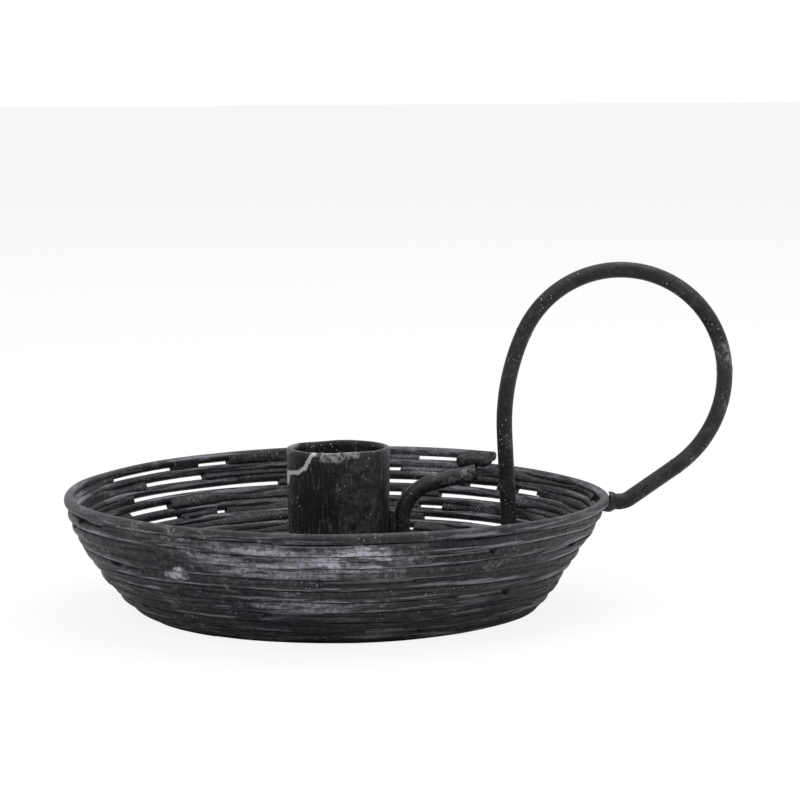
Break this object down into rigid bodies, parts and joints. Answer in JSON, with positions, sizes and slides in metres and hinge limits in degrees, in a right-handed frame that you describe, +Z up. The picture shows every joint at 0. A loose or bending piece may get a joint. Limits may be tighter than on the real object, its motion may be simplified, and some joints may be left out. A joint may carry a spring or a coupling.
{
  "type": "chamberstick",
  "caption": "Wire-wound dish with brazed turns, a short tube socket for one candle, a tall bent-rod carrying loop at one side and a small side hook.",
  "frame": {"origin": "on the table under the middle of the dish, on the axis of the candle cup", "axes": "+Z up out of the cup; +X from the cup towards the carrying loop; +Y away from the camera of the picture"},
  "size_m": [0.1612, 0.1333, 0.0823],
  "materials": {
    "coil_iron": "blackened iron wire, dull, with pale scuffs",
    "rod_iron": "blackened iron rod, dull, lightly pitted",
    "cup_coating": "black coating, chipped, over grey metal",
    "braze_metal": "rough granular braze, blackened",
    "weld_metal": "rough lumpy weld, blackened"
  },
  "bodies": {
    "root": {"dish_coil": "coil_iron", "candle_cup": "cup_coating", "handle_loop": "rod_iron", "snuffer_hook": "rod_iron", "coil_end_weld": "weld_metal", "handle_rim_weld": "weld_metal", "handle_foot_weld": "weld_metal", "hook_cup_weld": "weld_metal", "hook_foot_weld": "weld_metal", "cup_foot_braze": "braze_metal", "wall_braze_1": "braze_metal", "wall_braze_2": "braze_metal", "wall_braze_3": "braze_metal", "wall_braze_4": "braze_metal", "wall_braze_5": "braze_metal", "wall_braze_6": "braze_metal", "wall_braze_7": "braze_metal", "wall_braze_8": "braze_metal", "wall_braze_9": "braze_metal", "wall_braze_10": "braze_metal", "floor_braze_outer": "braze_metal", "floor_braze_middle": "braze_metal", "floor_braze_inner": "braze_metal"}
  },
  "joints": []
}
